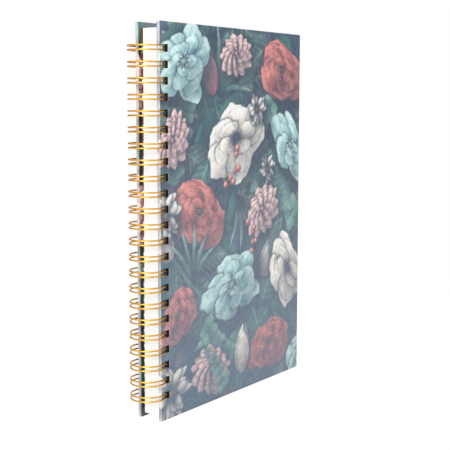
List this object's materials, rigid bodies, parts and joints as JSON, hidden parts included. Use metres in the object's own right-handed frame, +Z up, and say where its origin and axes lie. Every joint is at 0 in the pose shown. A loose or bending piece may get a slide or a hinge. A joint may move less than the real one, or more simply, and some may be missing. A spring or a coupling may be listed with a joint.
{
  "type": "wire-bound journal",
  "caption": "Hardcover journal whose covers and punched leaves turn on a looped wire along the spine.",
  "frame": {"origin": "middle of the journal's footprint, on the surface that it stands on", "axes": "+Z up along the spine, +X from the spine to the fore edge, -Y out of the front cover"},
  "size_m": [0.1522, 0.0201, 0.214],
  "materials": {
    "printed_paper": "satin film over floral print",
    "grey_board": "raw dark grey board",
    "brown_paper": "matt coloured paper",
    "white_paper": "uncoated paper",
    "gold_wire": "bright gold coating"
  },
  "bodies": {
    "binding": {"wire_binding": "gold_wire"},
    "back_cover": {"back_cover_wrap": "printed_paper", "back_board": "grey_board", "back_endpaper": "brown_paper"},
    "leaves_8": {"leaf_block_8": "white_paper"},
    "leaves_7": {"leaf_block_7": "white_paper"},
    "leaves_6": {"leaf_block_6": "white_paper"},
    "leaves_5": {"leaf_block_5": "white_paper"},
    "leaves_4": {"leaf_block_4": "white_paper"},
    "leaves_3": {"leaf_block_3": "white_paper"},
    "leaves_2": {"leaf_block_2": "white_paper"},
    "leaves_1": {"leaf_block_1": "white_paper"},
    "front_cover": {"front_cover_wrap": "printed_paper", "front_board": "grey_board", "front_endpaper": "brown_paper"}
  },
  "joints": [
    {"name": "back_cover_hinge", "type": "hinge", "parent": "binding", "child": "back_cover", "pos_m": [-0.0661, 0, 0.107], "axis": [0, 0, 1], "range_deg": [0, 180]},
    {"name": "leaves_8_turn", "type": "hinge", "parent": "binding", "child": "leaves_8", "pos_m": [-0.0661, 0, 0.107], "axis": [0, 0, -1], "range_deg": [0, 180]},
    {"name": "leaves_7_turn", "type": "hinge", "parent": "leaves_8", "child": "leaves_7", "pos_m": [-0.0661, 0, 0.107], "axis": [0, 0, -1], "range_deg": [0, 180]},
    {"name": "leaves_6_turn", "type": "hinge", "parent": "leaves_7", "child": "leaves_6", "pos_m": [-0.0661, 0, 0.107], "axis": [0, 0, -1], "range_deg": [0, 180]},
    {"name": "leaves_5_turn", "type": "hinge", "parent": "leaves_6", "child": "leaves_5", "pos_m": [-0.0661, 0, 0.107], "axis": [0, 0, -1], "range_deg": [0, 180]},
    {"name": "leaves_4_turn", "type": "hinge", "parent": "leaves_5", "child": "leaves_4", "pos_m": [-0.0661, 0, 0.107], "axis": [0, 0, -1], "range_deg": [0, 180]},
    {"name": "leaves_3_turn", "type": "hinge", "parent": "leaves_4", "child": "leaves_3", "pos_m": [-0.0661, 0, 0.107], "axis": [0, 0, -1], "range_deg": [0, 180]},
    {"name": "leaves_2_turn", "type": "hinge", "parent": "leaves_3", "child": "leaves_2", "pos_m": [-0.0661, 0, 0.107], "axis": [0, 0, -1], "range_deg": [0, 180]},
    {"name": "leaves_1_turn", "type": "hinge", "parent": "leaves_2", "child": "leaves_1", "pos_m": [-0.0661, 0, 0.107], "axis": [0, 0, -1], "range_deg": [0, 180]},
    {"name": "front_cover_hinge", "type": "hinge", "parent": "leaves_1", "child": "front_cover", "pos_m": [-0.0661, 0, 0.107], "axis": [0, 0, -1], "range_deg": [0, 180]}
  ]
}
